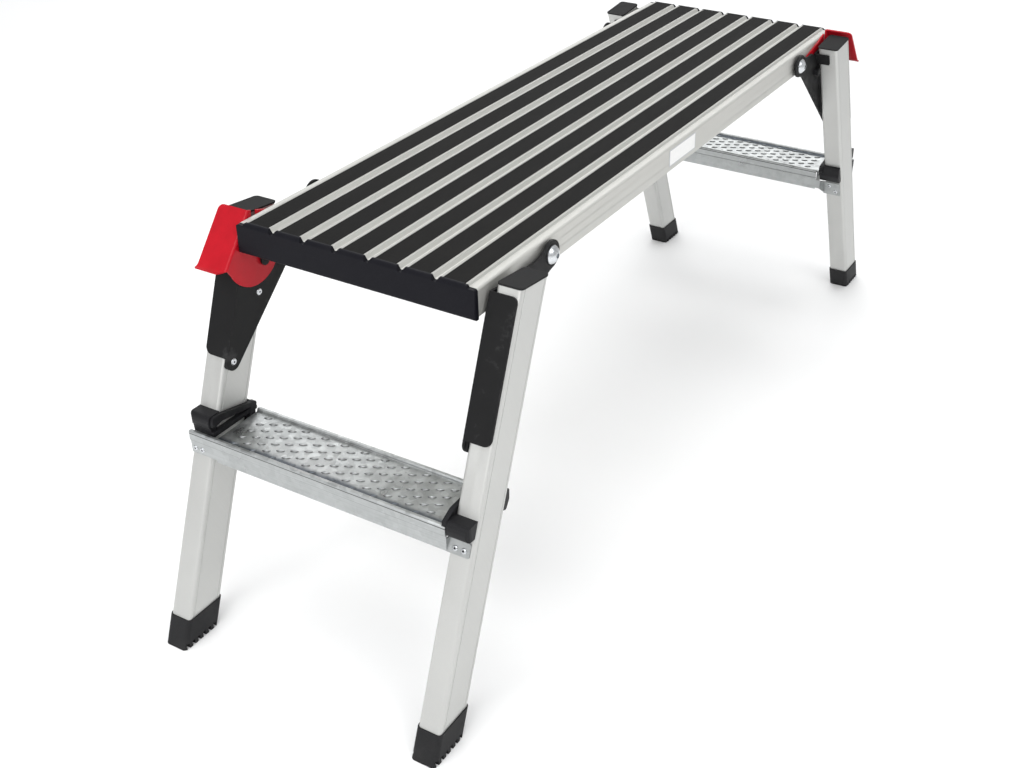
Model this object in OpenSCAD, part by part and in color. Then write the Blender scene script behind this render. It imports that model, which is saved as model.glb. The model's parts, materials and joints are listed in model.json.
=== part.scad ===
// Folding work platform: an aluminium deck on two hinged leg frames, each with a step,
// four bracket plates, and a red locking latch on one leg.
// Origin: on the floor, under the middle of the deck. +X runs along the deck, +Z is up.

/* [Deck] */
// Length of the deck at its top edge
deck_l = 1000; // [960:10:1100]
// Width of the deck
deck_w = 316; // [316:1:330]
// Height of the standing surface above the floor
deck_h = 500; // [500:1:504]
// Height of the deck's side walls
side_h = 35; // [34:1:36]
// Thickness of the deck's side walls
side_t = 2.5; // [2:0.5:3]
// Width of each black grip strip
strip_w = 27.4; // [26:0.2:28]
// Distance between neighbouring grip strips
strip_pitch = 43.2; // [43:0.1:43.6]
// Depth of each end cap along the deck
cap_l = 7.5; // [7:0.5:8]

/* [Legs] */
// Lean of the legs from the vertical, in degrees
lean = 22; // [21.9:0.1:22.1]
// Distance from the deck's end to the middle of the foot
foot_out = 150; // [149:1:151]
// Width of the leg tube, along the deck
tube_w = 50; // [49:0.5:50]
// Thickness of the leg tube, across the deck
tube_t = 30; // [28:1:32]
// Wall of the leg tube
tube_wall = 2; // [1.6:0.2:2.4]
// Height of the rubber shoes
shoe_h = 36; // [30:1:40]
// Gap between the deck's side and the leg tube
leg_gap = 10; // [10:0.5:11]

/* [Step] */
// Height of the step's rims above the floor
step_z = 260; // [258:1:262]
// Width of the step
step_w = 82; // [80:1:82]
// Depth of the step's side flanges
step_d = 33; // [32:1:36]
// Thickness of the step's sheet
sheet = 1.5; // [1.2:0.1:1.6]

/* [Hinges and latches] */
// Distance of each hinge bolt from the deck's end
hinge_in = 137; // [136:1:138]
// Depth of the hinge bolts below the standing surface
hinge_drop = 20; // [19:0.5:21]
// Radius of the hinge bolt
bolt_r = 5; // [4:0.5:6]
// Radius of the latch pivot pin
pivot_r = 4; // [3:0.5:4.5]
// Radius of the fixed lock pin under the deck
lock_r = 3; // [2.8:0.1:3.2]

/* [Hidden] */
$fn = 48;

half_l = deck_l / 2;
half_w = deck_w / 2;
panel_x = half_l + 4 - cap_l;
side_z = deck_h - side_h;
n_side = 3;
seat_z = deck_h - 1.8;
lip_z = deck_h - 0.4;

// Hinge axis of the right-hand frame, in the XZ plane
hx = half_l - hinge_in;
hz = deck_h - hinge_drop;

// Leg layout across the deck
leg_y0 = half_w + leg_gap;
leg_y1 = leg_y0 + tube_t;
foot_x = half_l + foot_out;
leg_top = deck_h - 2;
half_tube = tube_w / 2;

// Sheet planes beside the deck: latch plate, then bracket plate, then its pad on the leg
latch_y0 = half_w + 0.3;
latch_t = 2.2;
latch_bend = 3;
plate_y0 = half_w + 4;
plate_y1 = plate_y0 + 3;
bend_t = 2.5;

// Step layout, on the right-hand frame
step_x1 = half_l + 88;
step_x0 = step_x1 - step_w;
step_y = half_w;
tread_z = step_z - 4;
step_lo = step_z - step_d;
band_z = step_z - 12.5;

// Latch layout: pivot and lock pin relative to the hinge axis
piv = [hx + 67, hz - 28];
lock = [hx + 103.5, hz - 41.5];
lock_rad = norm([103.5, 41.5]);
lock_ang = -atan(41.5 / 103.5);
slot_r0 = lock_rad - lock_r - 2.2;
slot_r1 = lock_rad + lock_r + 0.6;
slot_w = slot_r1 - slot_r0;
slot_mid = (slot_r0 + slot_r1) / 2;

// Fold line of the latch handle
fold_a = [hx + 117.3, hz + 24.5];
fold_b = [hx + 162.8, hz - 30];

// A point given across (u) and along (s) the right-hand leg, in the XZ plane
function leg_pt(u, s) = [
    foot_x - s * sin(lean) + u * cos(lean),
    s * cos(lean) + u * sin(lean)
];

// Points on an arc, from angle a0 to a1
function arc(c, r, a0, a1, n = 8) = [
    for (i = [0 : n]) c + r * [cos(a0 + (a1 - a0) * i / n), sin(a0 + (a1 - a0) * i / n)]
];

// One rounded corner of an outline: previous point, corner, next point, radius
function fillet(p, c, q, r, n = 6) =
    let (
        a = (p - c) / norm(p - c),
        b = (q - c) / norm(q - c),
        half = acos(max(-1, min(1, a * b))) / 2,
        t = r / tan(half),
        m = c + (a + b) / norm(a + b) * r / sin(half),
        v0 = c + a * t - m,
        v1 = c + b * t - m,
        g0 = atan2(v0[1], v0[0]),
        d = atan2(v1[1], v1[0]) - g0,
        turn = d > 180 ? d - 360 : d < -180 ? d + 360 : d
    )
    arc(m, r, g0, g0 + turn, n);

// An outline with each corner rounded: entries are [x, y, radius], radius 0 stays sharp
function outline(v, n = 6) = [
    for (i = [0 : len(v) - 1])
        let (
            p = v[(i + len(v) - 1) % len(v)],
            c = v[i],
            q = v[(i + 1) % len(v)],
            xy = [c[0], c[1]]
        )
        each (c[2] == 0 ? [xy] : fillet([p[0], p[1]], xy, [q[0], q[1]], c[2], n))
];

function with_r(p, r) = [p[0], p[1], r];

// ---------- helpers ----------

// A plate in the XZ plane between two values of y
module plate(y0, y1) {
    translate([0, y1, 0])
        rotate([90, 0, 0])
            linear_extrude(y1 - y0) children();
}

// A profile in the YZ plane, swept along X and centred on x = 0
module along_x(length) {
    translate([-length / 2, 0, 0])
        rotate([90, 0, 90])
            linear_extrude(length) children();
}

// Local frame of the right-hand leg: x across the leg, z along it
module on_leg() {
    translate([foot_x, 0, 0])
        rotate([0, -lean, 0]) children();
}

// A cylinder along +Y from y0 to y1 at a point of the XZ plane
module rod_y(p, y0, y1, r) {
    translate([p[0], y1, p[1]])
        rotate([90, 0, 0]) cylinder(h = y1 - y0, r = r);
}

// Slab between two heights, much wider than the object
module slab(z0, z1) {
    translate([-half_l * 2, -half_w * 2, z0])
        cube([half_l * 4, half_w * 4, z1 - z0]);
}

// Everything more than d below the sloping top of the right-hand leg
module under_top(d) {
    translate([half_l - 24.5, 0, leg_top - d])
        rotate([0, -6, 0])
            translate([-200, -half_w * 2, -600]) cube([400, half_w * 4, 600]);
}

// The left-hand end is the right-hand end turned half a turn about Z
module left_end() {
    rotate([0, 0, 180]) children();
}

// Everything modelled on +Y, moved to -Y
module front() {
    mirror([0, 1, 0]) children();
}

// ---------- deck ----------

// Half of one groove between two strips, from its middle outwards
function groove(y) = [
    [y - 7.9, seat_z], [y - 7.9, lip_z], [y - 4.5, lip_z], [y - 2, deck_h - 4.8],
    [y + 2, deck_h - 4.8], [y + 4.5, lip_z], [y + 7.9, lip_z], [y + 7.9, seat_z]
];

// Right half of the deck's section, from the middle of the top to the middle below
function deck_half() =
    let (
        edge = n_side * strip_pitch + strip_w / 2,
        w = half_w,
        under = deck_h - 7
    )
    concat(
        [for (i = [0 : n_side - 1]) each groove((i + 0.5) * strip_pitch)],
        [[edge, seat_z], [edge, lip_z], [edge + 3.4, lip_z], [edge + 4.6, deck_h - 2.8]],
        arc([w - 3, deck_h - 5.8], 3, 90, 0, 5),
        [
            [w, side_z], [w - 8, side_z], [w - 8, side_z + 2.5], [w - side_t, side_z + 2.5],
            [w - side_t, under], [2 * strip_pitch + 1.25, under],
            [2 * strip_pitch + 1.25, under - 10], [2 * strip_pitch - 1.25, under - 10],
            [2 * strip_pitch - 1.25, under], [1.25, under], [1.25, under - 10]
        ]
    );

module deck_section() {
    h = deck_half();
    m = [for (i = [len(h) - 1 : -1 : 0]) [-h[i][0], h[i][1]]];
    polygon(concat(h, m));
}

module deck_panel() {
    color("silver")
        difference() {
            along_x(2 * panel_x) deck_section();
            for (sx = [-1, 1])
                translate([sx * hx, 0, hz])
                    rotate([90, 0, 0])
                        cylinder(h = deck_w + 2, r = bolt_r + 0.05, center = true);
        }
}

module grip_strip(i) {
    color([0.16, 0.16, 0.17])
        along_x(2 * panel_x)
            translate([(i - 4) * strip_pitch - strip_w / 2, seat_z])
                polygon(outline([
                    [0, 0, 0], [strip_w, 0, 0], [strip_w, 1.8, 0.5], [0, 1.8, 0.5]
                ], 3));
}

// Half of the end cap's section: the deck's outline with the grooves running on through it
function cap_half() =
    let (
        edge = n_side * strip_pitch + strip_w / 2,
        w = half_w,
        low = side_z - 3
    )
    concat(
        [
            for (i = [0 : n_side - 1])
                let (y = (i + 0.5) * strip_pitch)
                each [
                    [y - 5, deck_h], [y - 2.2, deck_h - 5.1],
                    [y + 2.2, deck_h - 5.1], [y + 5, deck_h]
                ]
        ],
        [[edge, deck_h], [edge + 0.6, lip_z - 0.1], [edge + 3.6, lip_z - 0.1]],
        [[edge + 4.8, deck_h - 3.1]],
        arc([w - 3, deck_h - 6.1], 3, 90, 0, 5),
        [[w, low]]
    );

// The end cap: a nose rounded in the XZ plane and at its corners, and a plug under the deck
module end_cap() {
    nose = half_l + 4;
    low = side_z - 3;
    h = cap_half();
    m = [for (i = [len(h) - 1 : -1 : 0]) [-h[i][0], h[i][1]]];
    color([0.17, 0.17, 0.19]) {
        intersection() {
            plate(-half_w, half_w)
                polygon(outline([
                    [panel_x, low, 0], [nose, low, 4], [nose - 2, deck_h, 5],
                    [panel_x, deck_h, 0]
                ]));
            translate([0, 0, low - 1])
                linear_extrude(side_h + 6)
                    polygon(outline([
                        [panel_x - 1, -half_w, 0], [nose, -half_w, 3],
                        [nose, half_w, 3], [panel_x - 1, half_w, 0]
                    ]));
            translate([half_l, 0, 0]) along_x(30) polygon(concat(h, m));
        }
        difference() {
            translate([panel_x - 10, 9 - half_w, side_z + 3])
                cube([11, 2 * half_w - 18, 11]);
            translate([panel_x - 11, 12 - half_w, side_z + 5.5])
                cube([11, 2 * half_w - 24, 20]);
        }
    }
}

module label_plate() {
    color("whitesmoke")
        plate(-half_w - 0.4, -half_w)
            polygon(outline([
                [-63, deck_h - 29, 1], [12, deck_h - 29, 1],
                [12, deck_h - 7, 1], [-63, deck_h - 7, 1]
            ], 3));
}

// Domed hinge bolt with a hexagon socket: shank through the deck's side, bush and bracket
module hinge_bolt() {
    inner = half_w - side_t - 7.5;
    head = plate_y1 + 0.3 - inner;
    translate([hx, inner, hz])
        rotate([-90, 0, 0])
            difference() {
                rotate_extrude()
                    polygon(concat(
                        [[0, 0], [bolt_r, 0], [bolt_r, head], [10.8, head], [10.8, head + 1.4]],
                        arc([0, head - 4.6], 12.35, 29, 68, 7),
                        [[3.6, head + 7.3], [0, head + 7.3]]
                    ));
                translate([0, 0, head + 3.6]) cylinder(h = 5, r = 3.2, $fn = 6);
            }
}

module hinge_bolts() {
    color("gainsboro") {
        hinge_bolt();
        front() hinge_bolt();
        left_end() hinge_bolt();
        left_end() front() hinge_bolt();
    }
}

module hinge_nut() {
    difference() {
        translate([hx, half_w - side_t, hz])
            rotate([90, 0, 0]) cylinder(h = 6.5, r = 9.2, $fn = 6);
        rod_y([hx, hz], half_w - 20, half_w, bolt_r + 0.02);
    }
}

module hinge_nuts() {
    color("gainsboro") {
        hinge_nut();
        front() hinge_nut();
        left_end() hinge_nut();
        left_end() front() hinge_nut();
    }
}

module spacer_bush() {
    difference() {
        rod_y([hx, hz], half_w, plate_y0 - 0.3, 8.5);
        rod_y([hx, hz], half_w - 1, plate_y0 + 1, bolt_r + 0.02);
    }
}

module spacer_bushes() {
    color("dimgray") {
        spacer_bush();
        front() spacer_bush();
        left_end() spacer_bush();
        left_end() front() spacer_bush();
    }
}

// Lock pin on a hanger plate screwed under the deck's lower lip, on the -Y side
module lock_pin() {
    front() {
        plate(half_w - 3.3, half_w - 0.8)
            polygon(concat(
                arc(lock, lock_r + 3.5, -180, 0, 10),
                [[lock[0] + lock_r + 3.5, side_z], [lock[0] - lock_r - 3.5, side_z]]
            ));
        translate([lock[0] - 16, half_w - 12, side_z - 2.5])
            cube([32, 11.2, 2.5]);
        rod_y(lock, half_w - 1.5, plate_y0 - 0.7, lock_r);
        for (dx = [-11, 11])
            translate([lock[0] + dx, half_w - 6, side_z - 4.5])
                cylinder(h = 2.5, r = 2.8);
    }
}

module lock_pins() {
    color([0.15, 0.15, 0.16]) {
        lock_pin();
        left_end() lock_pin();
    }
}

// ---------- legs ----------

// Section of the leg tube in its local frame: thin grooves near the corners of both wide faces
module tube_outer(grow = 0) {
    polygon(tube_points(half_tube + grow, leg_y0 - grow, leg_y1 + grow, 4 + grow));
}

function tube_points(u, y0, y1, r) = outline([
    [-u, y0, r], [u, y0, r], [u, y1, r], [-u, y1, r]
]);

module tube_section() {
    g = half_tube - 6.5;
    difference() {
        tube_outer();
        polygon(tube_points(half_tube - tube_wall, leg_y0 + tube_wall, leg_y1 - tube_wall, 2));
        for (sx = [-1, 1], y = [leg_y0, leg_y1])
            translate([sx * g, y]) square([1.2, 1], center = true);
    }
}

module leg(under_flange = false) {
    color("silver")
        difference() {
            intersection() {
                on_leg() translate([0, 0, -20]) linear_extrude(600) tube_section();
                slab(8, deck_h);
                under_top(2);
            }
            for (p = plate_rivets)
                rod_y(p, leg_y0 - 1, leg_y0 + tube_wall + 1, 2.15);
            step_rivet_holes(inner_rivets);
            if (under_flange) {
                for (y = flange_rivets)
                    translate([step_x1 - 22, y, flange_rivet_z])
                        rotate([0, 90, 0]) cylinder(h = 22, r = 2.15);
            } else {
                step_rivet_holes(outer_rivets);
            }
        }
}

// Black plug in the top of a leg, with its cover just wider than the tube
module leg_cap() {
    color([0.16, 0.16, 0.17]) {
        difference() {
            intersection() {
                on_leg() translate([0, 0, 400]) linear_extrude(200) tube_outer(0.8);
                under_top(0);
            }
            under_top(2);
        }
        difference() {
            intersection() {
                on_leg() translate([0, 0, 400]) linear_extrude(200)
                    polygon(tube_points(
                        half_tube - tube_wall - 0.05, leg_y0 + tube_wall + 0.05,
                        leg_y1 - tube_wall - 0.05, 2
                    ));
                under_top(1);
            }
            under_top(20);
        }
    }
}

// Rubber shoe: a sleeve over the tube's end with six grooves across its sole
module shoe() {
    color([0.13, 0.13, 0.14])
        difference() {
            intersection() {
                on_leg() translate([0, 0, -30]) linear_extrude(120) tube_outer(1.6);
                slab(0, shoe_h);
            }
            intersection() {
                on_leg() translate([0, 0, -30]) linear_extrude(120) tube_outer(0.05);
                slab(8, shoe_h + 1);
            }
            for (i = [-2.5 : 2.5])
                translate([foot_x + i * 9 - 2.1, leg_y0 - 5, -1])
                    cube([4.2, tube_t + 10, 8]);
        }
}

// ---------- brackets ----------

// Rivets that hold the bracket to the leg's inner face
plate_rivets = [leg_pt(16.5, 354), leg_pt(-10.6, 435.7)];

// Bracket outline: ear round the hinge bolt, long diagonal, lobe round the lower rivet,
// then up along the leg's outer edge and back over the leg to the ear
function bracket_outline() = concat(
    arc([hx, hz], 16.5, 40, 270, 14),
    outline_part([
        [hx + 13, hz - 20.5, 6]
    ], [hx, hz - 16.5], leg_pt(16.5, 354) + 11 * [cos(229), sin(229)]),
    arc(leg_pt(16.5, 354), 11, 229, 382, 10),
    fillet(leg_pt(27.5, 400), leg_pt(27.5, 517), leg_pt(-27.5, 530), 4, 4),
    [leg_pt(-27.5, 530), leg_pt(-27.5, 521)],
    [[hx + 60, hz - 1], [hx + 49, hz + 5], [hx + 33, hz + 5], [hx + 20, hz + 7]]
);

// Rounded corners of part of an outline, between a first and a last point
function outline_part(v, first, last, n = 4) = [
    for (i = [0 : len(v) - 1])
        let (
            p = i == 0 ? first : v[i - 1],
            q = i == len(v) - 1 ? last : v[i + 1]
        )
        each fillet([p[0], p[1]], [v[i][0], v[i][1]], [q[0], q[1]], v[i][2], n)
];

module bracket_body() {
    plate(plate_y0, plate_y1) polygon(bracket_outline());
    // raised pad between the plate and the leg's inner face
    plate(plate_y1 - 0.5, leg_y0)
        intersection() {
            polygon(bracket_outline());
            polygon([
                leg_pt(-half_tube, 340), leg_pt(half_tube, 340),
                leg_pt(half_tube, 515), leg_pt(-half_tube, 526)
            ]);
        }
    // flange on the leg's outer face
    on_leg()
        translate([half_tube, 0, 0])
            rotate([90, 0, 90])
                linear_extrude(bend_t)
                    polygon(outline([
                        [plate_y0, 357, 0], [leg_y1 - 2, 357, 9],
                        [leg_y1 - 2, 517, 7], [plate_y0, 517, 0]
                    ]));
    // short tab on the leg's inner side
    on_leg()
        translate([-half_tube - bend_t, 0, 0])
            rotate([90, 0, 90])
                linear_extrude(bend_t)
                    polygon(outline([
                        [plate_y0, 512, 0], [leg_y0 + 18, 512, 2],
                        [leg_y0 + 18, 529, 2], [plate_y0, 529, 0]
                    ], 3));
}

module bracket(pivot = false) {
    color([0.2, 0.2, 0.21])
        difference() {
            bracket_body();
            rod_y([hx, hz], plate_y0 - 1, plate_y1 + 1, bolt_r + 0.06);
            for (p = plate_rivets)
                rod_y(p, plate_y0 - 1, leg_y0 + 1, 2.15);
            if (pivot) rod_y(piv, plate_y0 - 1, plate_y1 + 1, pivot_r + 0.02);
        }
}

// Blind rivet along +Y: domed head with a hollow mandrel, shank and tail
module blind_rivet(grip, head_r = 4.2) {
    difference() {
        rotate_extrude()
            polygon([
                [0, -1.2], [head_r - 1.2, -1.2], [head_r - 0.3, -0.7], [head_r, 0],
                [2.1, 0], [2.1, grip + 0.05], [2.9, grip + 0.1], [2.9, grip + 2.5],
                [0, grip + 3.5]
            ]);
        translate([0, 0, -2]) cylinder(h = 4, r = 1.3);
    }
}

module bracket_rivet_pair() {
    for (p = plate_rivets)
        translate([p[0], plate_y0, p[1]])
            rotate([-90, 0, 0])
                blind_rivet(leg_y0 + tube_wall - plate_y0);
}

module bracket_rivets() {
    color("gainsboro") {
        bracket_rivet_pair();
        front() bracket_rivet_pair();
    }
}

// ---------- step ----------

// Half of the channel's section, seen along Y, with its outer flange at x = w
function channel_half(w) =
    let (
        z = step_z,
        t = sheet,
        top = tread_z
    )
    [
        [0, top], [w - 7.5, top], [w - 6, top + 1.2], [w - 6, z - 1.5], [w - 4.5, z],
        [w - 1.5, z], [w, z - 1.5], [w, band_z], [w - 1.2, band_z - 1.2], [w - 1.2, step_lo],
        [w - 1.2 - t, step_lo], [w - 1.2 - t, band_z - 0.7], [w - t, band_z + 0.6],
        [w - t, z - 2], [w - 2, z - t], [w - 4, z - t], [w - 6 + t, z - 2],
        [w - 6 + t, top + 0.6], [w - 6.6, top - t], [0, top - t]
    ];

module channel_section() {
    h = channel_half(step_w / 2);
    m = [for (i = [len(h) - 1 : -1 : 0]) [-h[i][0], h[i][1]]];
    translate([(step_x0 + step_x1) / 2, 0]) polygon(concat(h, m));
}

// Where the step's rivets meet the leg: [side of the leg, y, s]
outer_rivets = [[1, leg_y0 + 7.5, 241], [1, leg_y0 + 18.3, 241]];
inner_rivets = [[-1, leg_y0 + 7.5, 256], [-1, leg_y0 + 18, 245]];

// Rivets through the flange that passes over a leg: distances across the deck, and height
flange_rivets = [leg_y0 + 10.5, leg_y0 + 21.3];
flange_rivet_z = step_z - 23;
face_x = foot_x + (half_tube - flange_rivet_z * sin(lean)) / cos(lean);
flange_grip = step_x1 - 1.2 - face_x + tube_wall + 1.2;

module step_rivet_holes(rivets) {
    for (r = rivets)
        on_leg()
            translate([r[0] * (half_tube - tube_wall - 1), r[1], r[2]])
                rotate([0, r[0] * 90, 0]) cylinder(h = tube_wall + 2, r = 2.15);
}

// Lug from the flange to the leg and a tab lying on the leg's face
module step_tab(side, s0, s1) {
    y_lug = leg_y0 - 2;
    x_flange = side > 0 ? step_x1 - 1.2 : step_x0 + 1.2;
    u_face = side * half_tube;
    z_lo = step_lo + 2;
    z_hi = step_lo + 16;
    in = side * sheet;
    // flange carried on to the lug
    translate([min(x_flange, x_flange - in), step_y - 1, z_lo])
        cube([sheet, y_lug - step_y + 1, z_hi - z_lo]);
    // lug across to the leg's face
    plate(y_lug - sheet, y_lug)
        polygon([
            [x_flange, z_lo], [x_flange, z_hi],
            leg_pt(u_face, s1), leg_pt(u_face, s0)
        ]);
    // tab
    on_leg()
        translate([side > 0 ? half_tube + 0.02 : -half_tube - sheet - 0.02, 0, 0])
            rotate([90, 0, 90])
                linear_extrude(sheet)
                    polygon(outline([
                        [y_lug - sheet, s0, 0], [leg_y1 - 4, s0, 2],
                        [leg_y1 - 4, s1, 2], [y_lug - sheet, s1, 0]
                    ], 3));
}

module step() {
    color("lightgray")
        difference() {
            union() {
                plate(-step_y, step_y) channel_section();
                // rim and flange carried past the front leg, over its outer face
                intersection() {
                    front() plate(step_y - 1, leg_y1 - 3) channel_section();
                    translate([step_x1 - 5.9, -half_w * 2, step_lo + 3])
                        cube([10, deck_w, step_d]);
                }
                intersection() {
                    plate(step_y - 1, leg_y0 - 2) channel_section();
                    translate([step_x1 - 5.9, 0, step_lo - 1]) cube([10, deck_w, step_d + 2]);
                }
                step_tab(1, 234, 251);
                step_tab(-1, 237, 264);
                front() step_tab(-1, 237, 264);
                // end walls under the tread
                for (sy = [-1, 1])
                    translate([step_x0 + 9, sy > 0 ? step_y - sheet : -step_y, step_lo + 8])
                        cube([step_w - 18, sheet, tread_z - step_lo - 8.5]);
            }
            for (r = outer_rivets)
                on_leg()
                    translate([half_tube - 1, r[1], r[2]])
                        rotate([0, 90, 0]) cylinder(h = 4, r = 2.15);
            for (r = inner_rivets, sy = [-1, 1])
                on_leg()
                    translate([-half_tube + 1, sy * r[1], r[2]])
                        rotate([0, -90, 0]) cylinder(h = 4, r = 2.15);
            for (y = flange_rivets)
                translate([step_x1 - 4, -y, flange_rivet_z])
                    rotate([0, 90, 0]) cylinder(h = 6, r = 2.15);
        }
}

module step_rivets() {
    color("gainsboro") {
        // on the tabs of the rear leg, and the inner tab of the front leg
        for (r = concat(outer_rivets, inner_rivets))
            on_leg()
                translate([r[0] * (half_tube + sheet + 0.02), r[1], r[2]])
                    rotate([0, r[0] * -90, 0]) blind_rivet(tube_wall + sheet, 3.5);
        for (r = inner_rivets)
            on_leg()
                translate([-half_tube - sheet - 0.02, -r[1], r[2]])
                    rotate([0, 90, 0]) blind_rivet(tube_wall + sheet, 3.5);
        // through the flange over the front leg's outer face
        for (y = flange_rivets)
            translate([step_x1 - 1.2, -y, flange_rivet_z])
                rotate([0, -90, 0]) blind_rivet(flange_grip, 3.5);
    }
}

// ---------- step clips ----------

// Distance along the deck of the leg's outer face at a height
function leg_face(z) = foot_x + (half_tube + 0.05 - z * sin(lean)) / cos(lean);

// Level block on the leg's outer face, between two heights, out to x
module clip_outer(z0, z1, x) {
    intersection() {
        plate(leg_y0 - 1.7, leg_y1 - 2)
            polygon(outline([
                [leg_face(z0), z0, 0], [x, z0, 4], [x + 0.4, (z0 + z1) / 2, 12],
                [x - 1, z1, 5.5], [leg_face(z1), z1, 0]
            ], 4));
        translate([0, 0, z0 - 1])
            linear_extrude(z1 - z0 + 2)
                polygon(outline([
                    [x - 40, leg_y0 - 1.7, 0], [x + 1, leg_y0 - 1.7, 3],
                    [x + 1, leg_y1 - 2, 7], [x - 40, leg_y1 - 2, 0]
                ], 4));
    }
}

// The clips' bars start here, between the end of the tread and the leg
bar_y0 = leg_y0 - 5.8;

// Convex block on the leg's inner face, from s0 to s1
module clip_inner(s0, s1) {
    h = -half_tube - 0.05;
    on_leg()
        plate(bar_y0, leg_y1 - 2)
            polygon(outline([
                [h, s0, 0], [h - 7, s0, 3], [h - 9.5, (s0 + s1) / 2, 8],
                [h - 5, s1, 3], [h, s1, 0]
            ], 4));
}

// Clip whose outer block sits high: a bar across the leg and a bar along the tread's end
module clip_high() {
    z = tread_z;
    color([0.12, 0.12, 0.13]) {
        clip_outer(z + 10, z + 26, step_x1 - 6);
        clip_inner(271, 301);
        plate(leg_y0 - 1.7, leg_y1 - 5)
            polygon([
                [leg_face(z + 0.6), z + 0.6], [step_x1 - 8, z + 0.6],
                [step_x1 - 7.2, z + 13], [leg_face(z + 13), z + 13]
            ]);
        plate(bar_y0, leg_y0 - 0.1) {
            polygon(outline([
                [step_x1 - 7, z + 11, 3], [step_x1 - 9, z + 25, 5], [step_x1 - 20, z + 25, 4],
                [step_x0 + 16, z + 14.5, 6], [step_x0 + 1, z + 12, 4], [step_x0 + 1, z + 5, 2.5],
                [step_x0 + 14, z + 7.5, 4], [step_x1 - 24, z + 15, 4]
            ], 4));
            polygon(outline([
                [step_x0 + 1, z + 0.4, 2.5], [step_x1 - 7.2, z + 0.4, 1],
                [step_x1 - 7.2, z + 6.5, 2], [step_x0 + 1, z + 6.5, 2.5]
            ], 4));
        }
    }
}

// Clip whose outer block sits low: one humped bar with a rounded outer end
module clip_low() {
    z = tread_z;
    color([0.12, 0.12, 0.13]) {
        clip_outer(z - 8, z + 10.5, step_x1 + 0.4);
        clip_inner(279, 304);
        plate(bar_y0, leg_y0 - 0.1)
            polygon(outline([
                [step_x0 + 2, z + 0.4, 3], [step_x1 - 6.3, z + 0.4, 0],
                [step_x1 - 6.3, z + 4.4, 0], [step_x1 + 0.4, z + 4.4, 0],
                [step_x1 - 1, z + 10, 3], [step_x1 - 16, z + 17.5, 12],
                [step_x1 - 44, z + 18.5, 10], [step_x0 + 6, z + 12, 6]
            ], 4));
    }
}

// ---------- latch ----------

// Latch plate outline: inner arm on the pivot, lobe under the lock pin, outer edge on the fold
function latch_outline() = concat(
    outline_part([
        with_r([hx + 100, hz + 19], 8), [hx + 84, hz + 13.5, 12],
        [hx + 40, hz + 4, 5], [hx + 31, hz - 4, 5]
    ], fold_a, [hx + 60, hz - 34]),
    outline_part([
        [hx + 60, hz - 38, 9], [hx + 84, hz - 50, 8]
    ], [hx + 31, hz - 4], [hx + 88, hz - 57]),
    arc([hx + 116.7, hz - 25.6], 42.2, 222, 338, 14),
    [fold_b, fold_a]
);

// Ring sector about the hinge axis that the lock pin sweeps, open at the plate's top
module lock_slot() {
    a0 = lock_ang;
    polygon(concat(
        arc([hx, hz], slot_r0, a0, 24, 16),
        arc([hx, hz], slot_r1, 24, a0, 16)
    ));
    translate([hx + slot_mid * cos(a0), hz + slot_mid * sin(a0)]) circle(r = slot_w / 2);
}

module latch_handle() {
    run = fold_b - fold_a;
    len_f = norm(run);
    dir = run / len_f;
    out = [-dir[1], dir[0]];
    t = latch_t;
    curl = 8;
    intersection() {
        plate(latch_y0, leg_y1 + 2)
            polygon(concat(
                [fold_a],
                [for (a = [0 : 9 : 54]) fold_b + dir * curl * sin(a) + out * curl * (1 - cos(a))],
                [for (a = [54 : -9 : 0])
                    fold_b + dir * (curl + t) * sin(a) + out * (curl - (curl + t) * cos(a))],
                [fold_a - out * t]
            ));
        translate([fold_a[0], 0, fold_a[1]])
            rotate([0, -atan2(run[1], run[0]), 0])
                translate([0, 0, -30])
                    linear_extrude(60)
                        polygon(outline([
                            [0, latch_y0 - 1, 0], [len_f + 0.5, latch_y0 - 1, 0],
                            [len_f + 9, latch_y0 + 11, 8], [len_f + 20, latch_y0 + 13, 0],
                            [len_f + 20, leg_y1 + 2, 0], [0, leg_y1 + 2, 7]
                        ], 5));
    }
}

// Cutter that rounds the bend between the latch plate and its handle
module bend_cutter() {
    run = fold_b - fold_a;
    translate([fold_a[0], latch_y0, fold_a[1]])
        rotate([0, -atan2(run[1], run[0]), 0])
            translate([-20, 0, 0])
                rotate([90, 0, 90])
                    linear_extrude(norm(run) + 40)
                        difference() {
                            translate([-1, -latch_bend]) square(latch_bend + 1);
                            translate([latch_bend, -latch_bend]) circle(r = latch_bend);
                        }
}

// Latch of the right-hand frame, on its front leg
module latch() {
    color([0.8, 0.12, 0.17])
        front()
            difference() {
                union() {
                    plate(latch_y0, latch_y0 + latch_t)
                        difference() {
                            polygon(latch_outline());
                            lock_slot();
                        }
                    latch_handle();
                }
                rod_y(piv, latch_y0 - 1, latch_y0 + latch_t + 1, pivot_r + 0.05);
                bend_cutter();
            }
}

// Headed pivot pin held in the bracket, with a washer outside
module latch_pivot() {
    color([0.2, 0.2, 0.21])
        front() {
            rod_y(piv, latch_y0 - 2.1, latch_y0 - 0.3, 6.5);
            rod_y(piv, latch_y0 - 1, plate_y1 + 6.7, pivot_r);
            rod_y(piv, plate_y1 + 5.7, plate_y1 + 6.7, 6);
        }
}

// Torsion spring round the pivot pin, between the bracket and the washer
module latch_spring() {
    color("darkgray")
        front()
            translate([piv[0], plate_y1 + 0.8, piv[1]])
                rotate([-90, 0, 0]) {
                    rotate_extrude()
                        for (i = [0 : 4])
                            translate([5.2, 0.1 + i * 0.95]) circle(r = 0.55, $fn = 16);
                    translate([5.2, 0, 0.1])
                        rotate([90, 0, 0]) cylinder(h = 9, r = 0.5);
                }
}

// ---------- nodes ----------

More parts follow.
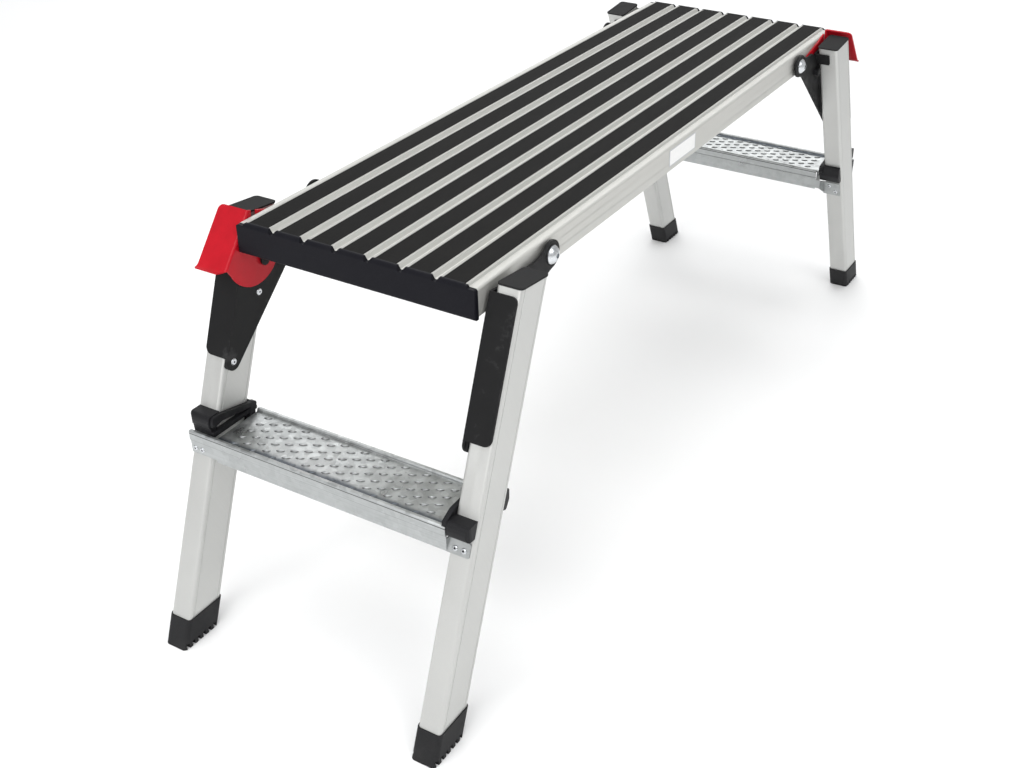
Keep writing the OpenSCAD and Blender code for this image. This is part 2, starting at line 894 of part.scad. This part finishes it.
deck_panel();
grip_strip(1);  // grip_strip_1
grip_strip(2);  // grip_strip_2
grip_strip(3);  // grip_strip_3
grip_strip(4);  // grip_strip_4
grip_strip(5);  // grip_strip_5
grip_strip(6);  // grip_strip_6
grip_strip(7);  // grip_strip_7
left_end() end_cap();  // end_cap_left
end_cap();  // end_cap_right
label_plate();
hinge_bolts();
hinge_nuts();
spacer_bushes();
lock_pins();
left_end() leg();  // leg_left_front
left_end() front() leg(true);  // leg_left_rear
front() leg(true);  // leg_right_front
leg();  // leg_right_rear
left_end() leg_cap();  // leg_cap_left_front
left_end() front() leg_cap();  // leg_cap_left_rear
front() leg_cap();  // leg_cap_right_front
leg_cap();  // leg_cap_right_rear
left_end() shoe();  // shoe_left_front
left_end() front() shoe();  // shoe_left_rear
front() shoe();  // shoe_right_front
shoe();  // shoe_right_rear
left_end() bracket();  // bracket_left_front
left_end() front() bracket(true);  // bracket_left_rear
front() bracket(true);  // bracket_right_front
bracket();  // bracket_right_rear
left_end() bracket_rivets();  // bracket_rivets_left
bracket_rivets();  // bracket_rivets_right
left_end() step();  // step_left
step();  // step_right
left_end() clip_low();  // step_clip_left_front
left_end() front() clip_high();  // step_clip_left_rear
front() clip_high();  // step_clip_right_front
clip_low();  // step_clip_right_rear
left_end() step_rivets();  // step_rivets_left
step_rivets();  // step_rivets_right
left_end() latch();  // latch_left
latch();  // latch_right
left_end() latch_pivot();  // latch_pivot_left
latch_pivot();  // latch_pivot_right
left_end() latch_spring();  // latch_spring_left
latch_spring();  // latch_spring_right
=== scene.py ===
import json
import math

import bmesh
import bpy
from mathutils import Matrix, Vector


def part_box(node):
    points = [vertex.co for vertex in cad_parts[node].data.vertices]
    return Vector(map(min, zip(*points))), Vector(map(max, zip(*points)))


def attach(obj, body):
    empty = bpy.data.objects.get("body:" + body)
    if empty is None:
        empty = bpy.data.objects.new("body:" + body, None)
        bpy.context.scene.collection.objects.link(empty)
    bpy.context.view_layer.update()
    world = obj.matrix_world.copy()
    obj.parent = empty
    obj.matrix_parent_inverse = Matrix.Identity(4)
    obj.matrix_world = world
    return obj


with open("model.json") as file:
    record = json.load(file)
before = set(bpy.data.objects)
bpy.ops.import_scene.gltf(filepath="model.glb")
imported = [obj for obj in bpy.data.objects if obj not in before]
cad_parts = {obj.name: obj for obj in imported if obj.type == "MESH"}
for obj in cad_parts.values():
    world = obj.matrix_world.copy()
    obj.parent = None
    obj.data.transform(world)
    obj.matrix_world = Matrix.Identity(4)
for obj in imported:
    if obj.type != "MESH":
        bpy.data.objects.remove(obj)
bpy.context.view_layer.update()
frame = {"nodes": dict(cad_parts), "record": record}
NODES = frame["nodes"]
RECORD = frame["record"]
LEAN = math.radians(22)         # of the legs
TREAD_Z = 0.256                 # top of the step's sheet
PAINTED_SHADE_LINES = ((0.247, 0.5), (0.2566, 0.6))   # painted shade lines on the step's flange: height, light kept
RIM_SHADE_BAND = (0.568, 0.579)       # |x| over which painted shade darkens the tread towards its outer rim
SERRATION_PITCH = 0.0022
WAVE_BANDS_PER_METRE = 3.2      # of a wave texture at scale 1
LABEL_BORDER = 0.0014
SAME_POINT = 0.000002           # points closer than this are one

# ---------------------------------------------------------------- materials


class Graph:
    """A material's node tree with short calls for the nodes used here."""

    def __init__(self, name):
        self.mat = bpy.data.materials.new(name)
        self.mat.use_nodes = True
        self.tree = self.mat.node_tree
        self.bsdf = self.tree.nodes["Principled BSDF"]

    def node(self, kind, **settings):
        n = self.tree.nodes.new(kind)
        for k, v in settings.items():
            setattr(n, k, v)
        return n

    def link(self, a, b):
        self.tree.links.new(a, b)

    def set(self, **values):
        for k, v in values.items():
            self.bsdf.inputs[k.replace("_", " ")].default_value = v

    def coords(self, scale=(1, 1, 1), turn=0.0):
        """Object coordinates in metres, turned about Y, then scaled."""
        tc = self.node("ShaderNodeTexCoord")
        turned = self.node("ShaderNodeMapping", vector_type="POINT")
        turned.inputs["Rotation"].default_value = (0, turn, 0)
        self.link(tc.outputs["Object"], turned.inputs["Vector"])
        scaled = self.node("ShaderNodeMapping", vector_type="POINT")
        scaled.inputs["Scale"].default_value = scale
        self.link(turned.outputs["Vector"], scaled.inputs["Vector"])
        return scaled.outputs["Vector"]

    def place(self, axis):
        """One object coordinate, in metres."""
        sep = self.node("ShaderNodeSeparateXYZ")
        self.link(self.node("ShaderNodeTexCoord").outputs["Object"], sep.inputs["Vector"])
        return sep.outputs[axis]

    def facing(self, low, high):
        """0 on faces whose normal's height is under low, 1 over high."""
        sep = self.node("ShaderNodeSeparateXYZ")
        self.link(self.node("ShaderNodeTexCoord").outputs["Normal"], sep.inputs["Vector"])
        return self.ramp(sep.outputs["Z"], (low, 0.0), (high, 1.0))

    def span(self, value, start, end):
        """A value stretched so that start to end becomes 0 to 1."""
        return self.math("MULTIPLY", self.math("SUBTRACT", value, start), 1 / (end - start))

    def noise(self, vector, scale, detail=4.0, rough=0.55, distortion=0.0):
        n = self.node("ShaderNodeTexNoise")
        n.inputs["Scale"].default_value = scale
        n.inputs["Detail"].default_value = detail
        n.inputs["Roughness"].default_value = rough
        n.inputs["Distortion"].default_value = distortion
        self.link(vector, n.inputs["Vector"])
        return n.outputs["Fac"]

    def ramp(self, fac, *stops):
        """Colour stops as (position, colour); a number stands for a grey."""
        n = self.node("ShaderNodeValToRGB")
        ramp = n.color_ramp
        while len(ramp.elements) < len(stops):
            ramp.elements.new(0.5)
        for e, (pos, col) in zip(ramp.elements, stops):
            e.position = pos
            e.color = (col, col, col, 1) if isinstance(col, (int, float)) else (*col, 1)
        self.link(fac, n.inputs["Fac"])
        return n.outputs["Color"]

    def mix(self, fac, a, b, blend="MIX"):
        n = self.node("ShaderNodeMix", data_type="RGBA", blend_type=blend)
        for socket, value in ((n.inputs["Factor"], fac), (n.inputs["A"], a), (n.inputs["B"], b)):
            if isinstance(value, bpy.types.NodeSocket):
                self.link(value, socket)
            elif isinstance(value, (int, float)):
                socket.default_value = value
            else:
                socket.default_value = (*value, 1)
        return n.outputs["Result"]

    def math(self, op, a, b=0.0):
        n = self.node("ShaderNodeMath", operation=op)
        for socket, value in zip(n.inputs, (a, b)):
            if isinstance(value, bpy.types.NodeSocket):
                self.link(value, socket)
            else:
                socket.default_value = value
        return n.outputs["Value"]

    def bump(self, height, distance, strength, normal=None):
        n = self.node("ShaderNodeBump")
        n.inputs["Strength"].default_value = strength
        n.inputs["Distance"].default_value = distance
        self.link(height, n.inputs["Height"])
        if normal is not None:
            self.link(normal, n.inputs["Normal"])
        return n.outputs["Normal"]

    def finish(self, color, rough, normal=None):
        self.link(color, self.bsdf.inputs["Base Color"])
        self.link(rough, self.bsdf.inputs["Roughness"])
        if normal is not None:
            self.link(normal, self.bsdf.inputs["Normal"])
        return self.mat


def shade(c, k):
    """A colour made k times as bright."""
    return tuple(min(1.0, v * k) for v in c)


def aluminium(name, color, turn, along):
    """Satin extruded aluminium, with fine die lines along the extrusion."""
    g = Graph(name)
    g.set(Metallic=0.74, Specular_IOR_Level=0.5, Anisotropic=0.25)
    lines = g.noise(g.coords(along, turn), 1.0, 5.0, 0.6)
    cloud = g.noise(g.coords(), 14.0, 3.0, 0.5)
    grain = g.noise(g.coords(), 1900.0, 2.0, 0.5)
    base = g.mix(0.5, g.ramp(lines, (0.3, shade(color, 0.9)), (0.7, shade(color, 1.05))),
                 g.ramp(cloud, (0.35, shade(color, 0.95)), (0.65, shade(color, 1.03))))
    rough = g.math("ADD", g.ramp(lines, (0.3, 0.4), (0.7, 0.54)),
                   g.ramp(cloud, (0.3, 0.0), (0.8, 0.06)))
    normal = g.bump(lines, 0.00003, 0.6)
    normal = g.bump(grain, 0.00001, 0.35, normal)
    return g.finish(base, rough, normal)


def deck_aluminium(color):
    """The deck's aluminium: cross serrations on upper faces, with painted shade in their grooves
    and painted highlight on their ridges; painted shade by height and facing darkens the lips and
    sides against the troughs' floors.
    """
    g = Graph("deck_aluminium")
    g.set(Metallic=0.6, Specular_IOR_Level=0.4)
    lines = g.noise(g.coords((9, 900, 900)), 1.0, 5.0, 0.6)
    cloud = g.noise(g.coords(), 11.0, 3.0, 0.5)
    wave = g.node("ShaderNodeTexWave", wave_type="BANDS", bands_direction="X")
    wave.inputs["Scale"].default_value = 1 / SERRATION_PITCH / WAVE_BANDS_PER_METRE
    wave.inputs["Distortion"].default_value = 0.3
    g.link(g.coords(), wave.inputs["Vector"])
    up = g.facing(0.6, 0.9)
    base = g.mix(0.5, g.ramp(lines, (0.3, shade(color, 0.93)), (0.7, shade(color, 1.04))),
                 g.ramp(cloud, (0.35, shade(color, 0.96)), (0.65, shade(color, 1.03))))
    # Painted shade and highlight: upper faces darker in the serrations' grooves and lighter on
    # their ridges.
    base = g.mix(g.math("MULTIPLY", up, 0.6), base,
                 g.ramp(wave.outputs["Fac"], (0.2, shade(color, 0.72)), (0.8, shade(color, 1.12))))
    # Painted shade by height and facing: level faces darken from the troughs' floors up to the
    # lips, other faces darken by a fixed amount.
    level = g.span(g.place("Z"), 0.49, 0.5)
    painted_shade_by_height = g.mix(up, (0.86, 0.86, 0.86), g.ramp(level, (0.58, 1.0), (0.9, 0.62)))
    base = g.mix(1.0, base, painted_shade_by_height, "MULTIPLY")
    rough = g.ramp(lines, (0.3, 0.48), (0.7, 0.6))
    serration = g.math("MULTIPLY", up, wave.outputs["Fac"])
    normal = g.bump(lines, 0.00003, 0.5)
    normal = g.bump(serration, 0.0002, 0.5, normal)
    return g.finish(base, rough, normal)


def grip_rubber(color):
    """Black grip strip: coarse grit, a little dust between the grains."""
    g = Graph("grip_rubber")
    g.set(Metallic=0.0, Specular_IOR_Level=0.07)
    fine = g.noise(g.coords(), 1400.0, 3.0, 0.65)
    grit = g.node("ShaderNodeTexVoronoi", feature="F1")
    grit.inputs["Scale"].default_value = 620.0
    g.link(g.coords(), grit.inputs["Vector"])
    dust = g.noise(g.coords((0.5, 1.4, 1)), 16.0, 4.0, 0.6)
    base = g.ramp(fine, (0.35, shade(color, 0.4)), (0.75, shade(color, 1.3)))
    base = g.mix(g.ramp(dust, (0.45, 0.0), (0.85, 0.05)), base, (0.09, 0.085, 0.08))
    rough = g.ramp(fine, (0.3, 0.62), (0.8, 0.86))
    normal = g.bump(grit.outputs["Distance"], 0.0003, 0.35)
    normal = g.bump(fine, 0.00012, 0.5, normal)
    return g.finish(base, rough, normal)


def moulded(name, color, rough0, spec=0.45, grain_size=900.0, grain=0.00005, dust=0.1):
    """Moulded plastic or rubber with a fine spark-eroded grain."""
    g = Graph(name)
    g.set(Metallic=0.0, Specular_IOR_Level=spec)
    fine = g.noise(g.coords(), grain_size, 3.0, 0.6)
    patch = g.noise(g.coords(), 26.0, 4.0, 0.6)
    base = g.ramp(fine, (0.35, shade(color, 0.8)), (0.7, shade(color, 1.3)))
    base = g.mix(g.ramp(patch, (0.45, 0.0), (0.9, dust)), base, (0.16, 0.155, 0.15))
    rough = g.math("ADD", g.ramp(patch, (0.3, rough0 - 0.06), (0.7, rough0 + 0.06)),
                   g.ramp(fine, (0.4, 0.0), (0.8, 0.05)))
    normal = g.bump(fine, grain, 0.5)
    return g.finish(base, rough, normal)


def painted(name, color, rough0, coat, spec=0.5, worn=(0.2, 0.2, 0.2)):
    """Powder coat: soft orange peel, with a little wear on raised edges."""
    g = Graph(name)
    g.set(Metallic=0.0, Specular_IOR_Level=spec, Coat_Weight=coat, Coat_Roughness=0.14)
    peel = g.noise(g.coords(), 420.0, 2.0, 0.5)
    patch = g.noise(g.coords(), 34.0, 5.0, 0.65)
    geo = g.node("ShaderNodeNewGeometry")
    edge = g.ramp(geo.outputs["Pointiness"], (0.56, 0.0), (0.66, 1.0))
    chips = g.math("MULTIPLY", edge, g.ramp(patch, (0.6, 0.0), (0.72, 0.12)))
    base = g.ramp(patch, (0.3, shade(color, 0.88)), (0.7, shade(color, 1.1)))
    base = g.mix(chips, base, worn)
    rough = g.ramp(patch, (0.3, rough0 - 0.05), (0.7, rough0 + 0.07))
    normal = g.bump(peel, 0.00006, 0.4)
    return g.finish(base, rough, normal)


def galvanised(color):
    """Galvanised sheet: spangle, bloom and scratches; on the steps also painted shade lines along
    the flanges, painted shade on the dashes' flanks and a painted shadow along the outer rim."""
    g = Graph("galvanised")
    g.set(Metallic=0.92, Specular_IOR_Level=0.5)
    cells = g.node("ShaderNodeTexVoronoi", feature="F1")
    cells.inputs["Scale"].default_value = 150.0
    g.link(g.coords(), cells.inputs["Vector"])
    sep = g.node("ShaderNodeSeparateColor")
    g.link(cells.outputs["Color"], sep.inputs["Color"])
    bloom = g.noise(g.coords(), 30.0, 6.0, 0.62, 0.6)
    scratch = g.noise(g.coords((700, 26, 700)), 1.0, 4.0, 0.6)
    base = g.ramp(bloom, (0.3, shade(color, 0.62)), (0.5, shade(color, 1.12)),
                  (0.72, shade(color, 1.5)))
    base = g.mix(0.35, base, g.ramp(sep.outputs["Red"], (0.1, shade(color, 0.6)),
                                    (0.9, shade(color, 1.4))))
    rolled = g.noise(g.coords((700, 5, 700)), 1.0, 4.0, 0.6)
    smooth = g.mix(0.3, g.ramp(rolled, (0.3, shade(color, 0.78)), (0.7, shade(color, 0.98))), base)
    height = g.place("Z")
    # Painted shade: thin dark lines along the flange, where it steps.
    for line, depth in PAINTED_SHADE_LINES:
        off = g.math("ABSOLUTE", g.math("SUBTRACT", height, line))
        painted_line_shade = g.ramp(g.math("MULTIPLY", off, 1000.0), (0.5, depth), (0.95, 1.0))
        smooth = g.mix(1.0, smooth, painted_line_shade, "MULTIPLY")
    base = g.mix(g.facing(0.5, 0.8), smooth, base)
    # Painted shade: the steep flanks of the pressed dashes are painted dark.
    pressed = g.ramp(g.span(height, TREAD_Z - 0.0005, TREAD_Z + 0.0015),
                     (0.28, 0.0), (0.32, 1.0), (0.8, 1.0), (0.86, 0.0))
    painted_flank_shade = g.ramp(g.facing(0.66, 0.93), (0.0, 0.9), (1.0, 0.0))
    base = g.mix(g.math("MULTIPLY", pressed, painted_flank_shade), base, shade(color, 0.22))
    # Painted shadow: a dark band on the tread along its outer rim, with a ragged inner edge.
    out = g.math("ADD", g.span(g.math("ABSOLUTE", g.place("X")), *RIM_SHADE_BAND),
                 g.math("MULTIPLY", g.math("SUBTRACT", bloom, 0.5), 1.4))
    painted_rim_shade = g.math("MULTIPLY", g.facing(0.5, 0.8), g.ramp(out, (0.3, 0.0), (0.85, 0.9)))
    below = g.ramp(g.span(height, TREAD_Z - 0.0005, TREAD_Z + 0.0035), (0.5, 1.0), (0.7, 0.0))
    base = g.mix(g.math("MULTIPLY", painted_rim_shade, below), base, (0.085, 0.1, 0.12))
    rough = g.math("ADD", g.ramp(bloom, (0.3, 0.24), (0.7, 0.42)),
                   g.ramp(sep.outputs["Green"], (0.1, 0.0), (0.9, 0.1)))
    normal = g.bump(bloom, 0.0003, 0.35)
    normal = g.bump(scratch, 0.00003, 0.5, normal)
    return g.finish(base, rough, normal)


def plated(name, color, rough0):
    """Bright zinc plate with faint turning marks and a slight bloom."""
    g = Graph(name)
    g.set(Metallic=1.0)
    bloom = g.noise(g.coords(), 120.0, 4.0, 0.6)
    fine = g.noise(g.coords(), 1500.0, 2.0, 0.5)
    base = g.ramp(bloom, (0.3, shade(color, 0.8)), (0.7, shade(color, 1.12)))
    rough = g.ramp(bloom, (0.3, rough0 - 0.06), (0.7, rough0 + 0.1))
    normal = g.bump(fine, 0.00002, 0.4)
    return g.finish(base, rough, normal)


def label_film(color):
    """Blank label film: white, with a thin grey border."""
    g = Graph("label")
    g.set(Specular_IOR_Level=0.4)
    lo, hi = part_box("label_plate")
    within = []
    for axis, a, b in (("X", lo.x, hi.x), ("Z", lo.z, hi.z)):
        off = g.math("ABSOLUTE", g.math("SUBTRACT", g.place(axis), (a + b) / 2))
        within.append(g.math("LESS_THAN", off, (b - a) / 2 - LABEL_BORDER))
    inside = g.math("MULTIPLY", *within)
    fibre = g.noise(g.coords(), 300.0, 4.0, 0.6)
    base = g.ramp(fibre, (0.3, shade(color, 0.95)), (0.7, color))
    base = g.mix(inside, (0.5, 0.51, 0.53), base)
    rough = g.ramp(fibre, (0.3, 0.28), (0.7, 0.4))
    return g.finish(base, rough, g.bump(fibre, 0.00004, 0.4))


LEG_COLOR = (0.57, 0.573, 0.558)
LEG_GRAIN = (900, 900, 9)
MATERIALS = {
    "deck_aluminium": deck_aluminium((0.675, 0.672, 0.64)),
    "leg_left": aluminium("leg_aluminium_left", LEG_COLOR, LEAN, LEG_GRAIN),
    "leg_right": aluminium("leg_aluminium_right", LEG_COLOR, -LEAN, LEG_GRAIN),
    "grip_rubber": grip_rubber((0.013, 0.0128, 0.0125)),
    "cap_plastic": moulded("cap_plastic", (0.0065, 0.0065, 0.0095), 0.45, 0.1, dust=0.02),
    "black_plastic": moulded("black_plastic", (0.011, 0.011, 0.0125), 0.42, 0.17, dust=0.04),
    "plug_plastic": moulded("plug_plastic", (0.016, 0.016, 0.0165), 0.72, 0.13, dust=0.08),
    "shoe_rubber": moulded("shoe_rubber", (0.014, 0.014, 0.015), 0.6, 0.2, 700.0, 0.00008, 0.12),
    "black_paint": painted("black_paint", (0.0105, 0.0105, 0.011), 0.5, 0.0, 0.13),
    "red_paint": painted("red_paint", (0.44, 0.004, 0.013), 0.42, 0.18, 0.12, (0.36, 0.02, 0.03)),
    "galvanised": galvanised((0.44, 0.455, 0.455)),
    "zinc": plated("zinc", (0.66, 0.68, 0.7), 0.24),
    "spring_steel": plated("spring_steel", (0.03, 0.03, 0.032), 0.5),
    "label": label_film((0.86, 0.86, 0.85)),
}
SLOT_OF = {s["node"]: s["material_slot"] for s in RECORD["subparts"]}


def material_for(node):
    """A node's material: its slot's, but for the leg caps and the two leaning sides."""
    slot = SLOT_OF[node]
    if node.startswith("leg_cap"):
        return MATERIALS["plug_plastic"]
    if slot == "leg_aluminium":
        return MATERIALS["leg_left" if "_left_" in node else "leg_right"]
    return MATERIALS[slot]


# ---------------------------------------------------------------- CAD nodes

# Edge rounding by the start of the node's name; the first that fits is used.
BEVEL_MM = {
    "deck_panel": 0.35, "end_cap": 0.8, "grip_strip": 0.0, "leg_cap": 0.5, "leg": 0.25,
    "shoe": 1.1, "bracket_rivets": 0.15, "bracket": 0.55, "step_clip": 0.9,
    "step_rivets": 0.15, "step": 0.3, "latch_pivot": 0.4, "latch_spring": 0.0,
    "latch": 0.6, "hinge": 0.35, "lock": 0.5, "spacer": 0.4, "label": 0.0,
}

for name, obj in NODES.items():
    obj.data.materials.clear()
    obj.data.materials.append(material_for(name))
    width = next(w for key, w in BEVEL_MM.items() if name.startswith(key))
    if width:
        weld = obj.modifiers.new("weld", "WELD")
        weld.merge_threshold = SAME_POINT
        bevel = obj.modifiers.new("bevel", "BEVEL")
        bevel.width = width / 1000
        bevel.segments = 2
        bevel.limit_method = "ANGLE"
        bevel.angle_limit = math.radians(38)
        bevel.use_clamp_overlap = True
        bevel.miter_outer = "MITER_ARC"
        normal = obj.modifiers.new("normal", "WEIGHTED_NORMAL")
        normal.keep_sharp = True

# ---------------------------------------------------------------- pieces


def add_piece(name, bm, material, body, smooth):
    """A mesh that rides on a body, sharp at edges over the angle smooth in degrees."""
    mesh = bpy.data.meshes.new(name)
    bm.normal_update()
    bm.to_mesh(mesh)
    bm.free()
    obj = bpy.data.objects.new(name, mesh)
    bpy.context.scene.collection.objects.link(obj)
    mesh.materials.append(material)
    for p in mesh.polygons:
        p.use_smooth = True
    mesh.set_sharp_from_angle(angle=math.radians(smooth))
    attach(obj, body)


def lens(bm, centre, angle, length, width, height):
    """A raised lens-shaped dash with a soft crown, lying on a level plate."""
    rows, half, least_reach = 8, 5, 0.00005
    grid = []
    for i in range(rows + 1):
        t = -1 + 2 * i / rows
        reach = width / 2 * (1 - t * t) ** 0.8 if abs(t) < 1 else 0.0
        row = []
        for j in range(2 * half + 1):
            s = -1 + j / half
            crown = height * (1 - t * t) ** 0.6 * (1 - s * s) ** 0.8 if abs(t) < 1 else 0.0
            p = Vector((t * length / 2, s * max(reach, least_reach), crown))
            p.rotate(Matrix.Rotation(angle, 3, "Z"))
            row.append(bm.verts.new(centre + p))
        grid.append(row)
    for a, b in zip(grid, grid[1:]):
        for j in range(2 * half):
            bm.faces.new((a[j], b[j], b[j + 1], a[j + 1]))


def tread_dashes(side, body):
    """Staggered dashes pressed up out of the step's tread."""
    lo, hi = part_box(f"step_{side}")
    sign = 1 if side == "right" else -1
    x_far = hi.x if sign > 0 else lo.x
    rows, first, row_pitch = 9, 0.0105, 0.0075
    pitch, half_field, sunk = 0.0286, 0.149, 0.00005
    size = (0.0112, 0.0046, 0.0017)
    bm = bmesh.new()
    for row in range(rows):
        x = x_far - sign * (first + row_pitch * row)
        start = pitch / 4 if row % 2 else -pitch / 4
        for k in range(-5, 6):
            y = start + k * pitch
            if abs(y) < half_field:
                lens(bm, Vector((x, y, TREAD_Z - sunk)), math.radians(-67), *size)
    add_piece(f"tread_dashes_{side}", bm, MATERIALS["galvanised"], body, 60)


def islands(node):
    """Connected lumps of a node, each as a list of points."""
    bm = bmesh.new()
    bm.from_mesh(NODES[node].data)
    bmesh.ops.remove_doubles(bm, verts=bm.verts, dist=SAME_POINT)
    seen = set()
    found = []
    for seed in bm.verts:
        if seed in seen:
            continue
        seen.add(seed)
        stack = [seed]
        lump = []
        while stack:
            v = stack.pop()
            lump.append(v.co.copy())
            for e in v.link_edges:
                w = e.other_vert(v)
                if w not in seen:
                    seen.add(w)
                    stack.append(w)
        found.append(lump)
    bm.free()
    return found


def rivet_head(lump, sign):
    """Middle of a rivet's head face, and the direction that it looks in."""
    best = None
    for axis in (Vector((0, 1, 0)), Vector((1, 0, 0)),
                 Vector((math.cos(LEAN), 0, sign * math.sin(LEAN)))):
        along = [p.dot(axis) for p in lump]
        flat = [p - axis * a for p, a in zip(lump, along)]
        lo = Vector([min(p[i] for p in flat) for i in range(3)])
        hi = Vector([max(p[i] for p in flat) for i in range(3)])
        mid = (lo + hi) / 2
        reach = [(p - mid).length for p in flat]
        if best is None or max(reach) < best[0]:
            best = (max(reach), axis, along, mid, reach)
    _, axis, along, mid, reach = best
    top = max(along)
    end_face, narrow = 0.00005, 0.001       # the tail's end is the narrow one
    if max(r for a, r in zip(along, reach) if a > top - end_face) < narrow:
        axis, along, top = -axis, [-a for a in along], -min(along)
    return mid + axis * top, axis


def mandrel_ends_and_hole_shade(side, body):
    """The broken mandrel ends, set a little down in the heads of the blind rivets; their
    near-black steel is also painted shade inside the holes.
    """
    bm = bmesh.new()
    n = 14
    rounds = ((0.00128, 0.0016), (0.00128, 0.00085), (0.00095, 0.0006), (0.00045, 0.00052))
    for node in (f"bracket_rivets_{side}", f"step_rivets_{side}"):
        for lump in islands(node):
            top, axis = rivet_head(lump, 1 if side == "right" else -1)
            turn = axis.to_track_quat("Z", "X")
            rings = []
            for radius, down in rounds:
                rings.append([
                    bm.verts.new(top + turn @ Vector((
                        radius * math.cos(2 * math.pi * i / n),
                        radius * math.sin(2 * math.pi * i / n), -down)))
                    for i in range(n)])
            for a, b in zip(rings, rings[1:]):
                for i in range(n):
                    j = (i + 1) % n
                    bm.faces.new((a[i], a[j], b[j], b[i]))
            bm.faces.new(rings[-1])
            bm.faces.new(rings[0][::-1])
    # Near-black: the mandrel ends' own steel, and painted shade inside the rivets' holes.
    add_piece(f"mandrel_ends_and_hole_shade_{side}", bm, MATERIALS["spring_steel"], body, 50)


for build in (tread_dashes, mandrel_ends_and_hole_shade):
    for side in ("left", "right"):
        build(side, f"{side}_leg_frame")

# ---------------------------------------------------------------- stage

FLOOR_RADIUS = 6.0
FLOOR_SIDES = 48
bm = bmesh.new()
bm.faces.new([bm.verts.new((FLOOR_RADIUS * math.cos(2 * math.pi * i / FLOOR_SIDES),
                            FLOOR_RADIUS * math.sin(2 * math.pi * i / FLOOR_SIDES), 0))
              for i in range(FLOOR_SIDES)])
mesh = bpy.data.meshes.new("floor")
bm.to_mesh(mesh)
bm.free()
floor = bpy.data.objects.new("floor", mesh)
floor.location.z = -0.0004      # just under the shoes
bpy.context.scene.collection.objects.link(floor)
g = Graph("floor")
g.set(Specular_IOR_Level=0.1)
cloud = g.noise(g.coords(), 2.0, 3.0, 0.5)
floor.data.materials.append(g.finish(
    g.ramp(cloud, (0.3, (0.97, 0.97, 0.97)), (0.7, (0.99, 0.99, 0.99))),
    g.ramp(cloud, (0.3, 0.85), (0.7, 0.95))))

scene = bpy.context.scene
world = bpy.data.worlds.new("studio")
scene.world = world
world.use_nodes = True
tree = world.node_tree
back = tree.nodes["Background"]
tc = tree.nodes.new("ShaderNodeTexCoord")
sep = tree.nodes.new("ShaderNodeSeparateXYZ")
ramp = tree.nodes.new("ShaderNodeValToRGB")
tree.links.new(tc.outputs["Generated"], sep.inputs["Vector"])
tree.links.new(sep.outputs["Z"], ramp.inputs["Fac"])
for stop, position, color in zip(ramp.color_ramp.elements, (0.0, 0.7),
                                 ((0.9, 0.9, 0.9, 1), (0.8, 0.81, 0.82, 1))):
    stop.position = position
    stop.color = color
tree.links.new(ramp.outputs["Color"], back.inputs["Color"])
back.inputs["Strength"].default_value = 0.7


LIT_POINT = Vector((0, 0, 0.3))


def area(name, location, size, power):
    """A rectangular area light that looks at the middle of the object."""
    data = bpy.data.lights.new(name, "AREA")
    data.shape = "RECTANGLE"
    data.size, data.size_y = size
    data.energy = power
    obj = bpy.data.objects.new(name, data)
    obj.location = location
    obj.rotation_euler = (LIT_POINT - Vector(location)).to_track_quat("-Z", "Y").to_euler()
    scene.collection.objects.link(obj)


area("key", (-0.9, -2.2, 2.6), (2.0, 1.6), 26)
area("top", (0.2, 0.3, 3.2), (2.8, 2.0), 34)
area("fill", (-3.1, -0.2, 2.3), (2.6, 2.0), 62)
area("back", (3.3, 1.9, 2.5), (3.4, 2.2), 44)

# ---------------------------------------------------------------- camera

data = bpy.data.cameras.new("camera")
data.sensor_fit = "HORIZONTAL"
data.sensor_width = 36
data.lens = 45.86
data.shift_x = -0.0586
cam = bpy.data.objects.new("camera", data)
cam.location = (-1.4542, -0.8194, 1.1103)
cam.rotation_euler = Vector((0.7344, 0.4235, -0.5304)).to_track_quat("-Z", "Y").to_euler()
scene.collection.objects.link(cam)
scene.camera = cam
scene.view_settings.view_transform = "Standard"
scene.view_settings.look = "None"
